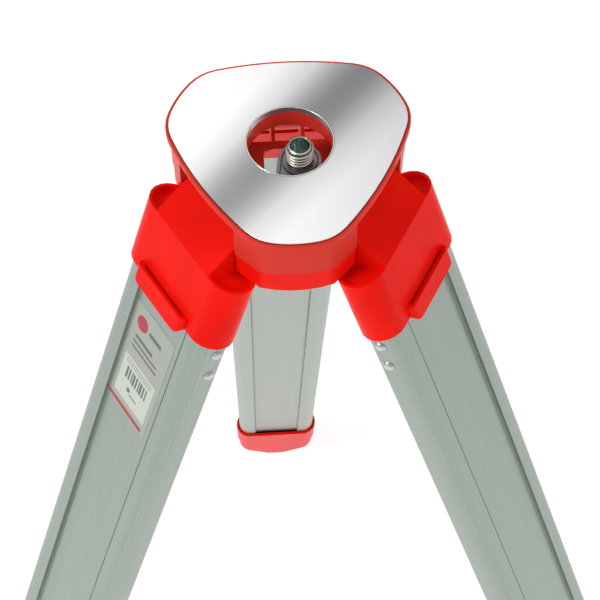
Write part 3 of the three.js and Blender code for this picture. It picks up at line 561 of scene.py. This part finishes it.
# Centring screw: a hollow stud whose thread is a true helix.
screwSettings = {        # mm
    "rootRadius": 6.7,
    "crestRadius": 7.94,    # 5/8 inch across the crests
    "boreRadius": 5.6,
    "boreDepth": 12,
    "shankRadius": 4.5,
    "pitch": 25.4 / 11,
    "threadStart": 1.4,     # above the shoulder
    "threadStop": 1.6,      # below the top
    "crestWidth": 0.45,
    "shoulderHeight": 13.1,  # from the top down to the shoulder
    "lead": (0.7, 0.55, 0.5),  # height, height of its lower cone, and how far that cone narrows
    "lip": 0.25,            # the narrower cone above
    "boreBreak": (0.3, 0.4),   # width and depth of the bore's broken edge
    "ridgeFoot": 0.4,       # how deep the ridge beds in the stud
    "ridgeHalf": 0.46,      # half the ridge's foot, as a share of the pitch
    "edge": 0.08,
    "edgeAngle": 35,        # degrees
    "steps": 56,
}


def makeCentringScrew(settings):
    low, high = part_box("centring_screw")
    top = high.z / mm
    bottom = low.z / mm
    shoulder = top - settings["shoulderHeight"]
    axis = Matrix.Translation(((low.x + high.x) / 2, (low.y + high.y) / 2, 0))
    root = settings["rootRadius"]
    bore = settings["boreRadius"]
    lead, leadCone, leadWidth = settings["lead"]
    breakWidth, breakDepth = settings["boreBreak"]
    form = bmesh.new()
    profile = [(0, bottom), (settings["shankRadius"], bottom), (settings["shankRadius"], shoulder),
               (root, shoulder), (root, top - lead), (root - leadWidth, top - lead + leadCone),
               (root - leadWidth - settings["lip"], top), (bore + breakWidth, top), (bore, top - breakDepth),
               (bore, top - settings["boreDepth"]), (0, top - settings["boreDepth"])]
    lathe(form, profile, settings["steps"], axis)

    # one ridge, swept up the stud
    start = shoulder + settings["threadStart"]
    turns = (top - settings["threadStop"] - start) / settings["pitch"]
    steps = int(settings["steps"] * turns)
    half = settings["pitch"] * settings["ridgeHalf"]
    crest = settings["crestWidth"] / 2
    foot = root - settings["ridgeFoot"]
    ridge = [(foot, -half), (root, -half), (settings["crestRadius"], -crest),
             (settings["crestRadius"], crest), (root, half), (foot, half)]
    verts = [form.verts.new((radius * mm, 0, (start + height) * mm)) for radius, height in ridge]
    face = form.faces.new(verts)
    bmesh.ops.spin(form, geom=[face, *face.edges, *verts], cent=(0, 0, 0), axis=(0, 0, 1),
                   dvec=(0, 0, settings["pitch"] * turns * mm / steps), angle=2 * math.pi * turns,
                   steps=steps, use_merge=False)
    made = [v for v in form.verts if not v.tag]
    bmesh.ops.transform(form, matrix=axis, verts=made)
    piece = finishForm(form, "centringScrewThreaded", materials["plated_steel"], "screw")
    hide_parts("centring_screw")
    ease = piece.modifiers.new("easedEdges", "BEVEL")
    ease.width = settings["edge"] * mm
    ease.segments = 2
    ease.limit_method = "ANGLE"
    ease.angle_limit = math.radians(settings["edgeAngle"])
    ease.harden_normals = True


makeCentringScrew(screwSettings)
print("centring screw made")


# Rivets: a domed head that beds on a thin flange, two on each narrow side of a tube.
rivetSettings = {        # mm
    "radius": 3.8,
    "dome": 1.9,
    "flange": 0.45,
    "flangeEdge": (0.6, 0.25),  # share of the flange that is upright, and how far the rest leans in
    "domeInset": 0.55,
    "domeSteps": 7,
    "domeFlat": 0.12,       # the die leaves the very top this much lower
    "steps": 32,
}


def rivetProfile(settings):
    radius = settings["radius"]
    flange = settings["flange"]
    upright, lean = settings["flangeEdge"]
    profile = [(0, 0), (radius, 0), (radius, flange * upright), (radius - lean, flange)]
    for i in range(settings["domeSteps"]):
        angle = math.pi / 2 * i / settings["domeSteps"]
        profile.append(((radius - settings["domeInset"]) * math.cos(angle),
                        flange + (settings["dome"] - flange) * math.sin(angle)))
    return profile + [(0, settings["dome"] - settings["domeFlat"])]


def makeRivets(settings):
    profile = rivetProfile(settings)
    for name in legNames:
        for mark in ("a1", "a2", "b1", "b2"):
            node = f"rivet_{name}_{mark}"
            low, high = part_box(node)
            place = legFrame(name)
            centre = place.inverted() @ ((low + high) / 2)
            side = 1 if centre.x > 0 else -1
            seat = Matrix.Translation((centre.x - side * settings["dome"] * mm / 2, centre.y, centre.z))
            turn = Matrix.Rotation(side * math.pi / 2, 4, "Y")
            form = bmesh.new()
            lathe(form, profile, settings["steps"], place @ seat @ turn)
            piece = finishForm(form, f"rivetHead_{name}_{mark}", materials["zinc_steel"],
                               "leg_" + name)
            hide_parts(node)


makeRivets(rivetSettings)
print("rivets made")


# Fine raised rim that the punch leaves round the plate's centre hole, burnished bright.
rimSettings = {          # mm
    "inner": 24.02,
    "outer": 25.1,
    "height": 0.18,
    "foot": -0.05,          # bedded in the plate
    "innerEdge": (0.2, 0.6),   # how far the inner edge leans, and the share of it that is upright
    "outerSlope": 0.5,
    "steps": 96,
}


def makeHoleRim(settings):
    inner = settings["inner"]
    outer = settings["outer"]
    foot = settings["foot"]
    height = settings["height"]
    lean, upright = settings["innerEdge"]
    form = bmesh.new()
    profile = [(inner, foot), (inner, height * upright), (inner + lean, height),
               (outer - settings["outerSlope"], height), (outer, foot), (inner, foot)]
    lathe(form, profile, settings["steps"], Matrix.Translation(headCentre))
    finishForm(form, "holeRim", materials["burnishedRim"], "head")


makeHoleRim(rimSettings)
print("hole rim made")


# Foil label on the left leg's outer web, with plain shapes in place of its print.
labelSettings = {
    "webDepth": 9.6,        # outer face of the web, out from the leg's middle
    "foil": 0.12,           # thickness
    "ink": 0.03,
    "foilShine": 0.6,       # how metallic the foil is
    "foilPatch": (-18.5, 23.8, 88, 174),
    # each patch: name, ink, across from and to, along the leg from and to, mm
    "patches": [
        ("labelTitle", "dark", -8, 5, 99.5, 102.5),
        ("labelLineA", "dark", -3, 16, 111.5, 114),
        ("labelLineB", "dark", -9.5, 17, 116.8, 118.3),
        ("labelLineC", "dark", -11, 17, 121, 122.5),
        ("labelBox", "white", -14.5, 19.5, 131, 165),
        ("labelStrip", "red", -14, 23.5, 169.5, 172.5),
    ],
    # inside the box
    "boxPatches": [
        ("labelFineA", "grey", -12, 16.7, 133.2, 134),
        ("labelFineB", "grey", -12, 16.7, 135.6, 136.4),
        ("labelNote", "dark", -3, 5, 157, 158),
    ],
    # bars of three widths in turn, as shares of their pitch
    "bars": {"count": 9, "from": -9, "to": 14.5, "top": 139, "bottom": 148.5, "shares": (0.45, 0.6, 0.75)},
    # each disc: name, ink, across, along, radius, mm
    "discs": [("labelDisc", "red", 13, 100.5, 5.6)],
    "boxDiscs": [("labelMark", "dark", 7, 155, 1.8)],
    "discSteps": 32,
}


def finishPrint(form, name, ink, metallic=0.0):
    material = printedInk(name + "Ink", labelInks[ink], metallic)
    piece = finishForm(form, name, material, "leg_left")
    for polygon in piece.data.polygons:
        polygon.use_smooth = False


def labelPatch(place, name, ink, size, depth, thickness, metallic=0.0):
    x0, x1, z0, z1 = size
    form = bmesh.new()
    bmesh.ops.create_cube(form, size=1)
    scale = Matrix.Diagonal(((x1 - x0) * mm, thickness * mm, (z1 - z0) * mm, 1))
    centre = Matrix.Translation(((x0 + x1) / 2 * mm, (depth + thickness / 2) * mm, -(z0 + z1) / 2 * mm))
    bmesh.ops.transform(form, matrix=place @ centre @ scale, verts=form.verts)
    finishPrint(form, name, ink, metallic)


def labelDisc(place, name, ink, across, along, radius, depth, thickness):
    form = bmesh.new()
    bmesh.ops.create_cone(form, cap_ends=True, segments=labelSettings["discSteps"], radius1=radius * mm,
                          radius2=radius * mm, depth=thickness * mm)
    centre = Matrix.Translation((across * mm, (depth + thickness / 2) * mm, -along * mm))
    turn = Matrix.Rotation(math.pi / 2, 4, "X")
    bmesh.ops.transform(form, matrix=place @ centre @ turn, verts=form.verts)
    finishPrint(form, name, ink)


def makeLabel(settings):
    # prints lie on the foil, and the box's own prints on the box
    place = legFrame("left")
    ink = settings["ink"]
    onWeb = settings["webDepth"]
    onFoil = onWeb + settings["foil"]
    onBox = onFoil + ink
    labelPatch(place, "labelFoil", "foil", settings["foilPatch"], onWeb, settings["foil"],
               settings["foilShine"])
    for name, colour, *size in settings["patches"]:
        labelPatch(place, name, colour, size, onFoil, ink)
    for name, colour, *size in settings["boxPatches"]:
        labelPatch(place, name, colour, size, onBox, ink)
    bars = settings["bars"]
    pitch = (bars["to"] - bars["from"]) / bars["count"]
    for i in range(bars["count"]):
        start = bars["from"] + i * pitch
        size = (start, start + pitch * bars["shares"][i % 3], bars["top"], bars["bottom"])
        labelPatch(place, f"labelBar{i}", "dark", size, onBox, ink)
    for depth, discs in ((onFoil, settings["discs"]), (onBox, settings["boxDiscs"])):
        for name, colour, across, along, radius in discs:
            labelDisc(place, name, colour, across, along, radius, depth, ink)


makeLabel(labelSettings)
print("label made")


def makeStudio(settings):
    scene = bpy.context.scene
    world = bpy.data.worlds.new("surround")
    scene.world = world
    world.use_nodes = True
    background = world.node_tree.nodes["Background"]
    background.inputs["Color"].default_value = (1, 1, 1, 1)
    background.inputs["Strength"].default_value = settings["surround"]
    form = bmesh.new()
    bmesh.ops.create_grid(form, x_segments=1, y_segments=1, size=settings["floorSize"] / 2)
    mesh = bpy.data.meshes.new("floor")
    form.to_mesh(mesh)
    form.free()
    floor = bpy.data.objects.new("floor", mesh)
    scene.collection.objects.link(floor)
    material, tree, shader = newMaterial("paleFloor")
    shader.inputs["Base Color"].default_value = linear(settings["floorColour"])
    shader.inputs["Roughness"].default_value = settings["floorRoughness"]
    shader.inputs["Emission Color"].default_value = linear(settings["floorColour"])
    shader.inputs["Emission Strength"].default_value = settings["floorGlow"]
    mesh.materials.append(material)
    for name, offset, size, power, reflected in settings["lights"]:
        data = bpy.data.lights.new(name, "AREA")
        data.size = size
        data.energy = power
        light = bpy.data.objects.new(name, data)
        light.visible_glossy = reflected
        light.location = headCentre + Vector(offset)
        light.rotation_euler = (-Vector(offset)).to_track_quat("-Z", "Y").to_euler()
        scene.collection.objects.link(light)
    scene.view_settings.view_transform = "Standard"


makeStudio(studioSettings)
print("studio made")
